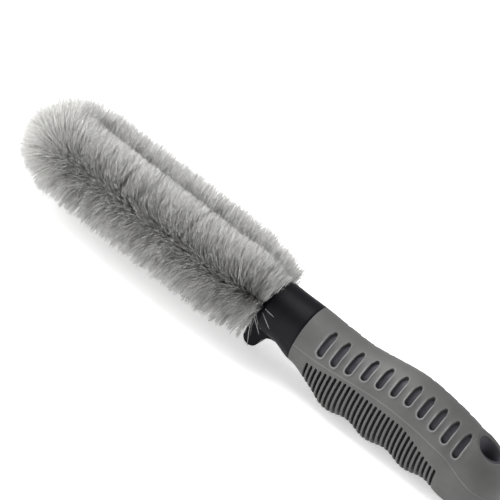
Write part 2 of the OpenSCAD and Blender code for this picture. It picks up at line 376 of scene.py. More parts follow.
def wire_material():
    """Galvanised steel wire with drawing marks, its colour darkened to a painted shade, as it lies in the
    filaments' shadow.
    """
    n = Nodes("galvanised_wire", {"Metallic": 1.0})
    tone = n.ramp(n.noise(300, 4, 0.6), [(0.3, (0.13, 0.135, 0.14)), (0.7, (0.24, 0.245, 0.25))])
    n.shade("Base Color", tone)
    n.shade("Roughness", n.span(n.noise(900, 3), 0.42, 0.6))
    n.shade("Normal", n.bump(n.noise(1800, 2), 0.2, 0.00004))
    return n.material


FILAMENT_MAP = "OFBake"                      # the name of the map that gives each filament its shade
FILAMENT_COLUMNS = 64                        # how many shades of filament there are


def filament_material():
    """Soft grey plastic filament, with a painted shade at the root, palest past its middle and darker again
    at its tip.

    Every filament lies in one column of its map, which gives its shade, and its length runs up the map.
    """
    n = Nodes("bristle_filament", {"Specular IOR Level": 0.5})
    place_in_map = n.add("ShaderNodeUVMap", uv_map=FILAMENT_MAP)
    split = n.add("ShaderNodeSeparateXYZ")
    n.link(place_in_map.outputs["UV"], split.inputs["Vector"])
    column = n.add("ShaderNodeMath", {1: FILAMENT_COLUMNS}, operation="MULTIPLY")
    n.link(split.outputs["X"], column.inputs[0])
    whole = n.add("ShaderNodeMath", operation="FLOOR")
    n.link(column.outputs["Value"], whole.inputs[0])
    shade = n.add("ShaderNodeTexWhiteNoise", noise_dimensions="1D")
    n.link(whole.outputs["Value"], shade.inputs["W"])
    # dark near the root: painted shade, where the filaments shadow each other round the wire
    along = n.ramp(split.outputs["Y"], [
        (0.0, (0.07, 0.07, 0.078)),
        (0.25, (0.57, 0.566, 0.57)),
        (0.55, (0.84, 0.836, 0.828)),
        (1.0, (0.51, 0.508, 0.496)),
    ])
    tint = n.ramp(shade.outputs["Value"], [
        (0.0, (0.38, 0.38, 0.39)),
        (0.3, (0.82, 0.82, 0.82)),
        (0.8, (1.02, 1.02, 1.01)),
        (1.0, (1.36, 1.36, 1.35)),
    ])
    tinted = n.add("ShaderNodeMix", {"Factor": 1.0}, data_type="RGBA", blend_type="MULTIPLY")
    n.link(along, tinted.inputs["A"])
    n.link(tint, tinted.inputs["B"])
    n.shade("Base Color", tinted.outputs["Result"])
    n.shade("Roughness", n.span(shade.outputs["Value"], 0.34, 0.5))
    return n.material


# ---- grip ----

SHEET_STEP = 1.15                            # distance between the rows of points on the rubber
SLOT_REACH = 4.0                             # a slot changes nothing further along the grip than this


def window_centres():
    """Length along the grip, middle round it and half the length of each window on one side."""
    for i in range(WINDOW_COUNT):
        u = WINDOW_FIRST + i * WINDOW_PITCH
        bow = ((u - BOW_CENTRE) / BOW_HALF) ** 2
        turn = math.radians(WINDOW_TURN + WINDOW_DROP * bow)
        yield u, ROUND * turn, (WINDOW_L + WINDOW_GROWTH * bow) / 2


def slot_radius(low_r, high_r, t):
    """Half the width of a slot, t from 0 at its lower end to 1 at its narrow upper end."""
    return mix(low_r, high_r, smooth((t - 0.7) / 0.35))


def capsule_loop(u, low_w, high_w, low_r, high_r, grow):
    """Outline of a slot across the grip between low_w and high_w, grown by a margin."""
    steps = max(3, int(abs(high_w - low_w)))          # about a millimetre each
    upward = math.copysign(1, high_w - low_w)
    pts = []
    for i in range(steps + 1):
        t = i / steps
        pts.append((u + slot_radius(low_r, high_r, t) + grow, mix(low_w, high_w, t)))
    for a in np.linspace(0, math.pi, 9)[1:-1]:
        r = high_r + grow
        pts.append((u + r * math.cos(a), high_w + upward * r * math.sin(a)))
    for i in range(steps, -1, -1):
        t = i / steps
        pts.append((u - slot_radius(low_r, high_r, t) - grow, mix(low_w, high_w, t)))
    for a in np.linspace(math.pi, 0, 11)[1:-1]:
        r = low_r + grow
        pts.append((u + r * math.cos(a), low_w - upward * r * math.sin(a)))
    return pts


def capsule_distance(u, w, slot):
    """How far points lie outside a slot, which is negative inside it."""
    u0, low_w, high_w, low_r, high_r = slot
    t = np.clip((w - low_w) / (high_w - low_w), 0, 1)
    nearest = mix(low_w, high_w, t)
    r = slot_radius(low_r, high_r, t)
    return np.hypot(u - u0, w - nearest) - r


def lip_left(w, slot):
    """How much of its raised lip a window keeps, from 1 at its lower end to little at its upper end."""
    _, low_w, high_w, _, _ = slot
    return 1 - 0.85 * smooth(((w - low_w) / (high_w - low_w) - 0.35) / 0.5)


def grip_slots():
    """Windows and grooves as (u, low end, high end, low radius, high radius)."""
    windows = []
    for u, centre, half in window_centres():
        for side in (1, -1):
            low, high = side * (centre + half - WINDOW_R), side * (centre - half + WINDOW_TIP_R)
            windows.append((u, low, high, WINDOW_R, WINDOW_TIP_R))
    grooves = []
    for i in range(GROOVE_COUNT):
        u = GROOVE_FIRST + i * GROOVE_PITCH
        start = float(groove_w(np.array(u))) + GROOVE_R
        grooves.append((u, start, ONCE_ROUND - start, GROOVE_R, GROOVE_R))
    return windows, grooves


def mouth_loop(top, radius):
    """The hang hole's mouth, a round outline seen from above, as points (u, w) on the top or the bottom."""
    pts = []
    for a in np.linspace(0, 2 * math.pi, 41)[:-1]:
        h = HANG_X + radius * math.cos(a) - GRIP_X
        y = radius * math.sin(a)
        if h <= TAIL_H:
            u = h
        else:
            u = TAIL_H + TAIL_U * math.asin(min(0.999, (h - TAIL_H) / (GRIP_L - TAIL_H))) / (math.pi / 2)
        _, _, _, half_y, power = section(np.array(u), 0.0)
        turn = math.asin(min(0.97, abs(y) / float(half_y)) ** (1 / float(power)))
        w = ROUND * math.copysign(turn, y)
        pts.append((u, w if top else ONCE_ROUND / 2 - w))
    return pts


# Height of the rubber above its own smooth surface, at distances from the edge of a window, of a groove
# and of the hang hole's mouth, and from the parting line on its upper and its lower side.
WINDOW_EDGE = [(0.0, -0.1), (0.1, 0.08), (0.3, 0.24), (0.6, 0.22), (0.95, 0.06), (1.3, 0.0)]
GROOVE_EDGE = [(0.0, -0.08), (0.08, -0.01), (0.2, 0.0)]
MOUTH_EDGE = [(0.0, -0.55), (0.25, -0.22), (0.6, -0.05), (1.0, 0.0)]
PARTING_ABOVE = [(0.0, 0.0), (0.4, 0.0)]
PARTING_BELOW = [(0.0, 0.0), (0.4, 0.12), (1.1, 0.12), (3.4, 0.0)]

# How much painted highlight the rubber gets at distances from the edge of a window and from the parting
# line.
LIP_HIGHLIGHT = [(0.0, 0.0), (0.1, 0.3), (0.3, 0.9), (0.6, 0.7), (0.95, 0.0)]
SEAM_HIGHLIGHT = [(0.0, 0.5), (0.4, 0.0)]


def read_profile(distance, profile):
    """The profile's value at a distance, on straight lines between its points."""
    xs, ys = zip(*profile)
    return np.interp(distance, xs, ys)


def sheet_triangles(points, loops, keep):
    """Delaunay triangles of the points that follow the loops, without those whose middle keep refuses."""
    verts = [Vector((float(a), float(b))) for a, b in points]
    edges = []
    for loop in loops:
        start = len(verts)
        verts += [Vector((float(a), float(b))) for a, b in loop]
        edges += [(start + i, start + (i + 1) % len(loop)) for i in range(len(loop))]
    out = geometry.delaunay_2d_cdt(verts, edges, [], 0, 1e-4, True)
    uv = np.array([(v.x, v.y) for v in out[0]])
    tris = np.array([f for f in out[2] if len(f) == 3])
    middle = uv[tris].mean(axis=1)
    return uv, tris[keep(middle[:, 0], middle[:, 1])]


def polygon_holds(loop, x, y):
    """Whether points lie inside a closed outline."""
    inside = np.zeros(len(x), bool)
    pts = np.array(loop)
    for (x0, y0), (x1, y1) in zip(pts, np.roll(pts, -1, axis=0)):
        crosses = (y0 > y) != (y1 > y)
        if y0 != y1:
            inside ^= crosses & (x < (x1 - x0) * (y - y0) / (y1 - y0) + x0)
    return inside


def half_limits(u, upper):
    """Where one half of the rubber begins and ends on its way round, at the parting line."""
    part = parting_w(u)
    return (-part, part) if upper else (part, ONCE_ROUND - part)


def mouth_distance(u, w):
    """How far points of the tail lie outside the hang hole's mouth, seen from above."""
    p = grip_point(u, w)
    return np.maximum(np.hypot(p[:, 0] - HANG_X, p[:, 1]) - MOUTH_R, 0)


def clear_of(points, slots, gap):
    """Which points are further than a gap from every slot, and stand clear of the hang hole's mouth."""
    u, w = points[:, 0], points[:, 1]
    ok = mouth_distance(u, w) > 0.25
    for slot in slots:
        near = np.abs(u - slot[0]) < SLOT_REACH
        ok[near] &= capsule_distance(u[near], w[near], slot) > gap
    return ok


def sheet_points(us, upper, slots, profile, seam):
    """Points inside one half of the rubber: rows round its edges, and an even grid between them."""
    points = []
    for gap, _ in profile[1:]:
        for slot in slots:
            points += capsule_loop(*slot, gap)
    for gap, _ in MOUTH_EDGE[1:]:
        points += mouth_loop(upper, MOUTH_R + gap)
    lows, highs = half_limits(us, upper)
    for gap, _ in seam[1:]:
        for u, low, high in zip(us[1:-1], lows[1:-1], highs[1:-1]):
            points += [(u, low + gap), (u, high - gap)]
    for u in np.arange(0.35, END_U, SHEET_STEP):
        low, high = half_limits(u, upper)
        points += [(u, w) for w in np.arange(low + 0.8, high - 0.7, SHEET_STEP * 1.15)]
    points = np.array(points)
    return points[clear_of(points, slots, profile[1][0] * 0.8)]


def grip_half(upper, windows, grooves):
    """The rubber above or below the parting line: points (u, w), their heights and painted highlight, and
    triangles.
    """
    slots, profile = (windows, WINDOW_EDGE) if upper else (grooves, GROOVE_EDGE)
    seam = PARTING_ABOVE if upper else PARTING_BELOW
    mouth = mouth_loop(upper, MOUTH_R)

    us = np.concatenate([np.arange(0, TAIL_H, 0.9), np.linspace(TAIL_H, END_U, 28)])
    lows, highs = half_limits(us, upper)
    border = list(zip(us, lows))
    border += [(END_U, w) for w in np.linspace(lows[-1], highs[-1], 20)[1:-1]]
    border += list(zip(us[::-1], highs[::-1]))
    border += [(0.0, w) for w in np.linspace(highs[0], lows[0], 40)[1:-1]]
    loops = [border] + [capsule_loop(*slot, 0.0) for slot in slots] + [mouth]

    def is_rubber(u, w):
        low, high = half_limits(u, upper)
        ok = (w > low) & (w < high)
        for slot in slots:
            near = np.abs(u - slot[0]) < SLOT_REACH
            ok[near] &= capsule_distance(u[near], w[near], slot) > 0
        return ok & ~polygon_holds(mouth, u, w)

    uv, tris = sheet_triangles(sheet_points(us, upper, slots, profile, seam), loops, is_rubber)
    u, w = uv[:, 0], uv[:, 1]
    from_seam = np.abs(np.where(w > ONCE_ROUND / 2, ONCE_ROUND - w, np.abs(w)) - parting_w(u))
    height = np.zeros(len(uv))
    # a painted highlight along the parting line, and on each window's lip in the upper half
    painted_highlight = read_profile(from_seam, SEAM_HIGHLIGHT)
    for slot in slots:
        near = np.abs(u - slot[0]) < SLOT_REACH
        distance = np.maximum(capsule_distance(u[near], w[near], slot), 0)
        left = lip_left(w[near], slot)
        rise = read_profile(distance, profile)
        height[near] += np.where(rise > 0, rise * left, rise)
        if upper:
            painted_highlight[near] = np.maximum(painted_highlight[near], read_profile(distance, LIP_HIGHLIGHT) * left)
    height += read_profile(from_seam, seam)
    height += read_profile(mouth_distance(u, w), MOUTH_EDGE)
    return uv, height, painted_highlight, tris


def weld_parting(uv, tris):
    """The triangles with each point that both halves have on the parting line taken as one."""
    places = np.round(grip_point(uv[:, 0], uv[:, 1]), 3)
    first_at = {}
    same = [first_at.setdefault(tuple(p), i) for i, p in enumerate(places)]
    return np.array(same)[tris]


def open_edges(tris):
    """The edges that only one triangle has, in that triangle's direction."""
    edges = dict.fromkeys((a, b) for tri in tris.tolist() for a, b in zip(tri, tri[1:] + tri[:1]))
    return [(a, b) for a, b in edges if (b, a) not in edges]


def build_grip(material):
    """The rubber grip: an outer and an inner skin with walls at every edge, closed by a cap on the tail."""
    windows, grooves = grip_slots()
    above = grip_half(True, windows, grooves)
    below = grip_half(False, windows, grooves)
    uv, height, painted_highlight = (np.concatenate(pair) for pair in zip(above[:3], below[:3]))
    tris = weld_parting(uv, np.concatenate([above[3], below[3] + len(above[0])]))
    u, w = uv[:, 0], uv[:, 1]
    outer = grip_point(u, w) + grip_normal(u, w) * height[:, None]
    inner = grip_point(u, w, RUBBER_T)
    at_mouth = mouth_distance(u, w) < 0.01
    inner[at_mouth, :2] = (inner[at_mouth, :2] - (HANG_X, 0)) * (MOUTH_R - 0.6) / MOUTH_R + (HANG_X, 0)

    n = len(outer)
    rims = open_edges(tris)
    tail = [(a, b) for a, b in rims if u[a] > END_U - 0.01 and u[b] > END_U - 0.01]
    tail_points = [a for a, _ in tail]
    verts = np.vstack([outer, inner, outer[tail_points].mean(axis=0), inner[tail_points].mean(axis=0)])
    faces = [tuple(t) for t in tris] + [(c + n, b + n, a + n) for a, b, c in tris]
    faces += [(b, a, a + n, b + n) for a, b in rims if (a, b) not in tail]
    faces += [(b, a, 2 * n) for a, b in tail]
    faces += [(a + n, b + n, 2 * n + 1) for a, b in tail]
    obj = make_object("rubber_grip", verts, faces, material)
    # the painted highlight goes to the rubber's material as a layer of the mesh
    highlight_of_all = np.concatenate([painted_highlight, np.zeros(len(verts) - n)])
    layer = obj.data.attributes.new(HIGHLIGHT_LAYER, "FLOAT", "POINT")
    layer.data.foreach_set("value", highlight_of_all.astype(np.float32))
    clean(obj)
    return obj


SLIVER = 0.002                               # faces thinner than this are closed up


def clean(obj):
    """Removes slivers and points that no face uses, and turns every face outwards."""
    mesh = bmesh.new()
    mesh.from_mesh(obj.data)
    bmesh.ops.remove_doubles(mesh, verts=mesh.verts, dist=SLIVER * MM)
    bmesh.ops.dissolve_degenerate(mesh, edges=mesh.edges, dist=SLIVER * MM)
    bmesh.ops.delete(mesh, geom=[v for v in mesh.verts if not v.link_faces], context="VERTS")
    bmesh.ops.recalc_face_normals(mesh, faces=mesh.faces)
    mesh.to_mesh(obj.data)
    mesh.free()


# ---- core ----

SIDES = 96                                   # points round each section of the core
LINING = 0.02                                # gap between the core and the rubber's inner skin
GUARD_ROUND = 2.6                            # radius of the guard's rounded edges
SKIN_STEP = 0.42                             # voxels of the remesh that blends the core into one skin


def ring(x, half_y, half_z, mid=0.0, power=1.0):
    """One section of the core: an oval round the point at height mid above the axis."""
    a = np.linspace(0, 2 * np.pi, SIDES, endpoint=False)
    y = half_y * signed_pow(np.sin(a), power)
    z = AXIS_Z + mid + half_z * signed_pow(np.cos(a), power)
    return np.stack([np.full(SIDES, x), y, z], axis=-1)


def neck_ring(x, radius):
    return ring(x, radius, radius)


def handle_ring(u, inset):
    """The grip's section at u, drawn in all round by inset."""
    h, mid, half_z, half_y, power = section(np.array(u), inset)
    return ring(GRIP_X + h, half_y, half_z, mid, power)


def arc(x, z, radius, angles):
    return [(x + radius * math.cos(a), z + radius * math.sin(a)) for a in angles]


def guard_outline():
    """Side view of the finger guard: a round tongue under the neck with a hollow behind it."""
    front = RIM_X - GUARD_FRONT
    tip_r = GUARD_T / 2
    hollow_x = front + GUARD_T + NOTCH_R
    pts = [(front + 1.5, -2.0), (front + 0.4, -6.0)]
    pts += arc(front + tip_r, tip_r - GUARD_DROP, tip_r, np.linspace(math.pi, 2 * math.pi, 15))
    pts += arc(hollow_x, -NECK_R - NOTCH_R, NOTCH_R, np.linspace(math.pi, math.pi / 2, 12)[1:])
    pts += [(hollow_x + 6, -NECK_R + 1.5), (hollow_x + 6, -2.0)]
    return pts


def prism(outline, half_w):
    """The outline in X and Z, extruded to both sides of the middle plane, as points and faces."""
    n = len(outline)
    verts = [(x, side * half_w, AXIS_Z + z) for side in (-1, 1) for x, z in outline]
    faces = [tuple(range(n)), tuple(range(2 * n - 1, n - 1, -1))]
    faces += [(i, i + n, (i + 1) % n + n, (i + 1) % n) for i in range(n)]
    return verts, faces


def core_rings():
    """Sections of the core from the domed front of the neck to the tail."""
    dome = np.radians([4, 10, 18, 27, 37, 48, 59, 70, 80, 88])
    rings = [neck_ring(RIM_X - DOME_L * math.cos(a), NECK_R * math.sin(a)) for a in dome]
    rings += [neck_ring(RIM_X + x, NECK_R) for x in np.linspace(0.6, BARREL_L, 6)]
    barrel, front = neck_ring(RIM_X + BARREL_L, NECK_R), handle_ring(0.0, 0.0)
    for t in np.linspace(0.1, 0.95, 10):
        flare = mix(barrel, front, float(smooth(t)))
        flare[:, 0] = mix(RIM_X + BARREL_L, GRIP_X, t)
        rings.append(flare)
    under_rubber = np.concatenate([np.arange(0, TAIL_H, 1.5), np.linspace(TAIL_H, END_U, 16)])
    return rings + [front] + [handle_ring(u, RUBBER_T + LINING) for u in under_rubber]


def core_cutters():
    """Rods that cut the hang hole, its two flared mouths and the two sockets."""
    cutters = [rod("hang_cutter", (HANG_X, 0, AXIS_Z - 30), (HANG_X, 0, AXIS_Z + 30), HANG_R)]
    for surface, outward in ((TAIL_TOP, MOUTH_DEPTH), (TAIL_BOTTOM, -MOUTH_DEPTH)):
        inner = (HANG_X, 0, AXIS_Z + surface - outward)
        outer = (HANG_X, 0, AXIS_Z + surface + outward)
        cutters.append(rod("mouth_cutter", inner, outer, HANG_R, 2 * MOUTH_R - HANG_R))
    for y in (-SOCKET_Y, SOCKET_Y):
        start, end = (RIM_X - 12, y, AXIS_Z), (SOCKET_END_X + 0.3, y, AXIS_Z)
        cutters.append(rod("socket_cutter", start, end, SOCKET_R))
    return cutters


def build_core(material):
    """The black core: neck, guard and the body under the rubber, blended into one skin."""
    rings = core_rings()
    core = make_object("core_body", np.vstack(rings), tube_faces(len(rings), SIDES), material)
    guard = make_object("guard_blank", *prism(guard_outline(), GUARD_W / 2), material)
    modify(guard, "BEVEL", width=GUARD_ROUND * MM, segments=5, angle_limit=math.radians(50))
    combine(core, guard, "UNION")
    modify(core, "REMESH", mode="VOXEL", voxel_size=SKIN_STEP * MM, use_smooth_shade=True)
    modify(core, "SMOOTH", factor=0.5, iterations=6)
    for cutter in core_cutters():
        combine(core, cutter, "DIFFERENCE")
    clean(core)
    core.data.set_sharp_from_angle(angle=SHARP_ANGLE)
    return core


def rod(name, start, end, radius, end_radius=None):
    """A plain or tapered rod between two points, used as a cutter."""
    end_radius = radius if end_radius is None else end_radius
    start, end = Vector(start) * MM, Vector(end) * MM
    turn = (end - start).to_track_quat("Z", "Y").to_matrix().to_4x4()
    mesh = bmesh.new()
    bmesh.ops.create_cone(
        mesh,
        cap_ends=True,
        segments=48,
        radius1=radius * MM,
        radius2=end_radius * MM,
        depth=(end - start).length,
        matrix=Matrix.Translation((start + end) / 2) @ turn,
    )
    data = bpy.data.meshes.new(name)
    mesh.to_mesh(data)
    mesh.free()
    return add_object(name, data)


def combine(obj, other, operation):
    """Joins other to obj or cuts it out, and removes other."""
    modify(obj, "BOOLEAN", operation=operation, object=other, solver="EXACT")
    bpy.data.objects.remove(other)


# ---- wire ----

# A place along the wire is given by s, the length from the rear end of the near leg's bristles.
BEND_L = math.pi * LEG_Y
LEG_L = FIELD_END_X - BEND_X
FIELD_L = 2 * LEG_L + BEND_L                 # wire length that carries filaments
BARE_L = SOCKET_END_X - FIELD_END_X          # and the bare length behind it, at each end
WIRE_SIDES, WIRE_STEPS = 14, 22              # points round each wire, and sections in each twist


def leg_y(x):
    """Distance of the legs from the middle plane, which draw in to the sockets."""
    return mix(LEG_Y, SOCKET_Y, smooth((x - FIELD_END_X + TAPER_L) / TAPER_L))


def wire_place(s):
    """Centre line of the wire at s, and the direction it runs in."""
    s = np.asarray(s, float)
    near, far = s < LEG_L, s > LEG_L + BEND_L
    a = np.clip((s - LEG_L) / LEG_Y, 0, math.pi)
    far_or_bend_x = np.where(far, BEND_X + s - LEG_L - BEND_L, BEND_X - LEG_Y * np.sin(a))
    x = np.where(near, FIELD_END_X - s, far_or_bend_x)
    y = np.where(near, -leg_y(x), np.where(far, leg_y(x), -LEG_Y * np.cos(a)))
    zero = np.zeros_like(x)
    return np.stack([x, y, zero + AXIS_Z], -1), np.stack([-np.cos(a), np.sin(a), zero], -1)


def build_strand(name, phase, material):
    """One of the two wires, wound round the other."""
    s = np.arange(-BARE_L, FIELD_L + BARE_L + 1e-6, TURN_L / WIRE_STEPS)
    centre, along = wire_place(s)
    across = np.cross(along, UP)
    turn = 2 * np.pi * s / TURN_L + phase
    middle = centre + STRAND_OFFSET * (np.cos(turn)[:, None] * across + np.sin(turn)[:, None] * UP)
    direction = np.gradient(middle, axis=0)
    direction /= np.linalg.norm(direction, axis=1, keepdims=True)
    side = np.cross(direction, UP)
    side /= np.linalg.norm(side, axis=1, keepdims=True)
    rise = np.cross(side, direction)
    a = np.linspace(0, 2 * np.pi, WIRE_SIDES, endpoint=False)[None, :, None]
    rings = middle[:, None] + WIRE_R * (np.cos(a) * side[:, None] + np.sin(a) * rise[:, None])
    faces = tube_faces(len(s), WIRE_SIDES)
    return make_object(name, rings.reshape(-1, 3), faces, material, math.radians(60))


# ---- filaments ----

# A filament's heading is given by turn, in radians round the wire from the inside of the loop over the top,
# and by tilt, its lean along the wire.
RINGS_AT = np.array([0.0, 0.38, 0.74, 1.0])  # where along a filament its sections lie
THINNING = np.array([1.0, 1.0, 0.9, 0.4])    # and how thick it is there
FILAMENT_R = 0.088
FILAMENTS_PER_MM = 400                       # before some tufts are left out
ROOT_R = 0.9                                 # from the wire's centre line to where a filament starts
TUFT = 6                                     # filaments that hang together
TWIST_SHARE = 0.15                           # share of the tufts that stand in line with the twist
THIN_OUT = 0.4                               # share of the coarsest tufts that are left out
SHORT_SHARE = 0.05                           # share of the filaments that are cut shorter
REAR_L = 12.0                                # wire length over which the rear end's filaments lean
PAST_MIDDLE = 4.5                            # how far filaments may reach past the middle plane
CRIMPED_EACH = 22                            # ordinary filaments for each three crimped ones
PARTINGS = (39.7, 75.2)                      # where the crest of the near leg parts, along the wire
NECK_STRAYS = [(2.75, -1.15, 18.0), (3.1, -1.0, 20.0), (3.4, -0.8, 13.5)]   # turn, tilt and length of each
FAR_STRAYS = 6                               # how many stand out at the far leg's rear end
CLUMP = 40                                   # filaments in a hanging clump
CLUMP_TURNS, CLUMP_TILTS = (3.8, 4.1), (-0.02, -0.2)       # where each clump points
OVERRUN = 2.0                                # length of wire past the bands that carries filaments too


def swell(rng, s, turn, size):
    """A smooth wavering of this size over the brush, alike for filaments that stand side by side."""
    total = np.zeros_like(s)
    for wave, lobes in ((0.9, 2), (1.7, 3), (3.1, 5)):
        total += np.sin(2 * np.pi * s * wave / TURN_L + lobes * turn + rng.uniform(0, 2 * np.pi))
    return size * total / 1.7


def directions(s, turn, tilt):
    """Where filaments root, straight out from the wire there, and the way they point."""
    centre, along = wire_place(s)
    across = np.cross(along, UP)
    out = np.cos(turn)[:, None] * across + np.sin(turn)[:, None] * UP
    heading = out + tilt[:, None] * along
    return centre, out, heading / np.linalg.norm(heading, axis=1, keepdims=True)


def rear_edge(s):
    """How near filaments are to the rear end, from 0 to 1, and the same signed with its direction."""
    near, far = np.clip(1 - s / REAR_L, 0, 1), np.clip(1 - (FIELD_L - s) / REAR_L, 0, 1)
    return near + far, far - near


def coarseness(s, turn):
    """How much the filaments clump, from 0 to 1: least on the crest and round the bend, most underneath."""
    in_bend = (s > LEG_L) & (s < LEG_L + BEND_L)
    return np.clip(0.5 - 0.55 * np.sin(turn), 0.08, 1) * np.where(in_bend, 0.5, 1.0)


def parting_tilt(s, turn):
    """How far filaments of the crest lean away from its partings."""
    tilt = np.zeros_like(s)
    for parting in PARTINGS:
        away = s - parting
        tilt += 0.07 * np.sign(away) * np.exp(-np.abs(away) / 1.2)
    return tilt * (np.sin(turn) > 0.6)


def grow_filaments(rng, s_from, s_to, count):
    """Centre lines of filaments rooted between two places along the wire: (filament, section, xyz)."""
    tufts = count // TUFT
    s_tuft = rng.uniform(s_from, s_to, tufts)
    spiral = 2 * np.pi * s_tuft / TURN_L + np.pi * rng.integers(0, 2, tufts)
    twisted = rng.random(tufts) < TWIST_SHARE
    turn_tuft = np.where(twisted, spiral + rng.normal(0, 0.7, tufts), rng.uniform(0, 2 * np.pi, tufts))
    in_bend = (s_tuft > LEG_L) & (s_tuft < LEG_L + BEND_L)
    turn_tuft += np.where(in_bend, 0.5 * np.sin(turn_tuft), 0.0)
    coarse_tuft = coarseness(s_tuft, turn_tuft)
    tilt_tuft = rng.normal(0, 0.04, tufts) * coarse_tuft
    reach_tuft = 1 - rng.uniform(0, 0.11, tufts) * coarse_tuft

    owner = np.repeat(np.arange(tufts), TUFT)
    n = len(owner)
    coarse = coarse_tuft[owner]
    s = s_tuft[owner] + (1.3 - 0.8 * coarse) * rng.normal(0, 1, n)
    turn = turn_tuft[owner] + mix(0.3, 0.08, coarse) * rng.normal(0, 1, n)
    edge, backward = rear_edge(s)
    tilt = tilt_tuft[owner] + rng.normal(0, 0.03, n)
    tilt += coarse * swell(np.random.default_rng(7), s, turn, 0.03)
    tilt += parting_tilt(s, turn) + backward * mix(-0.13, 0.23, smooth((np.sin(turn) + 0.8) / 1.4))
    centre, out, heading = directions(s, turn, tilt)
    ragged = np.where(s > LEG_L, 0.21, 0.06)
    length = BRISTLE_R * reach_tuft[owner] * (1.02 + 0.2 * ragged - ragged * rng.random(n))
    length *= (1 + 0.04 * np.sin(turn)) * (1 - 0.15 * edge ** 1.6 * smooth(np.sin(turn) + 0.7))
    length *= np.where(rng.random(n) < SHORT_SHARE, rng.uniform(0.6, 0.95, n), 1.0)
    length = np.minimum(length, room_for(centre, heading))
    wander = (0.25 + 0.35 * coarse)[:, None] * rng.normal(0, 1, (n, 3))
    sway = (coarse * swell(np.random.default_rng(8), s, turn, 0.5))[:, None] * np.cross(out, heading)
    line = filament_lines(centre, heading, length, wander + sway)
    line = gather(line, TUFT, 0.85 * coarse_tuft)
    kept = np.repeat(rng.random(tufts) > THIN_OUT * coarse_tuft, TUFT)
    return line[kept]


def room_for(centre, heading):
    """The length at which a filament of one leg stops short of the other leg's wire."""
    inward = -np.sign(centre[:, 1]) * heading[:, 1]
    reach = (np.abs(centre[:, 1]) + PAST_MIDDLE) / np.maximum(inward, 0.05)
    return np.where(inward > 0.05, reach, 99.0)


def grow_crimped(rng, s_from, s_to, count):
    """Centre lines of short, crimped filaments that stand out in threes at all angles near the wire."""
    s, turn = rng.uniform(s_from, s_to, count), rng.uniform(0, 2 * np.pi, count)
    centre, _, heading = directions(s, turn, rng.normal(0, 0.4, count))
    length = np.minimum(BRISTLE_R * rng.uniform(0.35, 0.9, count), room_for(centre, heading))
    line = filament_lines(centre, heading, length, rng.normal(0, 1.5, (count, 3)))
    return cling(rng, line, 3)


def cling(rng, line, size):
    """Bundles of filaments that cling together, each round one centre line."""
    line = np.repeat(line, size, axis=0)
    return line + rng.normal(0, 0.08, (len(line), 1, 3))


def gather(line, size, amount):
    """Draws the tips of each run of filaments together."""
    by_tuft = line.reshape(-1, size, len(RINGS_AT), 3)
    pull = np.asarray(amount)[:, None, None, None] * RINGS_AT[:, None] ** 2
    return (by_tuft + pull * (by_tuft.mean(axis=1, keepdims=True) - by_tuft)).reshape(line.shape)


def filament_lines(centre, heading, length, bend):
    """Centre lines that start at the wire and bend off more and more towards their tips."""
    t = RINGS_AT[None, :, None]
    out = ROOT_R + (length[:, None, None] - ROOT_R) * t
    return centre[:, None] + heading[:, None] * out + bend[:, None] * t ** 2


def grow_strays(rng, near):
    """Loose filaments at a leg's rear end, in threes: those of the near leg lie over the neck."""
    if near:
        turn, tilt, length = np.array(NECK_STRAYS).T
        s = rng.uniform(0.5, 2.5, len(turn))
    else:
        turn = rng.uniform(0.6, 1.5, FAR_STRAYS)
        tilt = rng.uniform(0.3, 0.5, FAR_STRAYS)
        length = rng.uniform(16, 19, FAR_STRAYS)
        s = FIELD_L - rng.uniform(0.5, 3.0, FAR_STRAYS)
    centre, _, heading = directions(s, turn, tilt)
    bend = rng.normal(0, 0.5, (len(s), 3)) + np.array([1.5, 0, 0])
    return cling(rng, filament_lines(centre, heading, length, bend), 3)


def grow_clumps(rng):
    """Clumps of filaments that hang apart from each other at the near leg's rear end."""
    turn, tilt = np.repeat(CLUMP_TURNS, CLUMP), np.repeat(CLUMP_TILTS, CLUMP)
    n = len(turn)
    s = rng.normal(1.5, 0.5, n)
    turn = turn + rng.normal(0, 0.1, n)
    tilt = tilt + rng.normal(0, 0.04, n)
    centre, _, heading = directions(s, turn, tilt)
    line = filament_lines(centre, heading, rng.uniform(16.5, 20.5, n), rng.normal(0, 0.3, (n, 3)))
    return gather(line, CLUMP, np.full(n // CLUMP, 0.6))


def tube_corners(line, rng):
    """Three corners round each centre line at every section: (filament, section, corner, xyz)."""
    along = np.gradient(line, axis=1)
    along /= np.maximum(np.linalg.norm(along, axis=2, keepdims=True), 1e-9)
    helper = np.array([0.31, 0.22, 0.92])             # any direction that few filaments point in
    side = np.cross(along, helper)
    side /= np.maximum(np.linalg.norm(side, axis=2, keepdims=True), 1e-9)
    rise = np.cross(side, along)
    radius = FILAMENT_R * rng.uniform(0.75, 1.15, len(line))[:, None] * THINNING[None]
    spin = rng.uniform(0, 2 * np.pi, len(line))
    corners = []
    for k in range(3):
        a = spin + 2 * np.pi * k / 3
        offset = np.cos(a)[:, None, None] * side + np.sin(a)[:, None, None] * rise
        corners.append(line + offset * radius[..., None])
    return np.stack(corners, axis=2)


def tube_sides_and_ends(n, rings):
    """Corner numbers of the faces along n three-cornered tubes, and of the faces that end them."""
    base = np.arange(n) * rings * 3
    r = base[:, None, None] + np.arange(rings - 1)[None, :, None] * 3
    k = np.arange(3)[None, None, :]
    following = (k + 1) % 3
    sides = np.stack([r + k, r + following, r + 3 + following, r + 3 + k], axis=-1).reshape(-1, 4)
    roots = np.stack([base + 2, base + 1, base], axis=-1)
    last = base + rings * 3
    tips = np.stack([last - 3, last - 2, last - 1], axis=-1)
    return sides, np.concatenate([roots, tips])


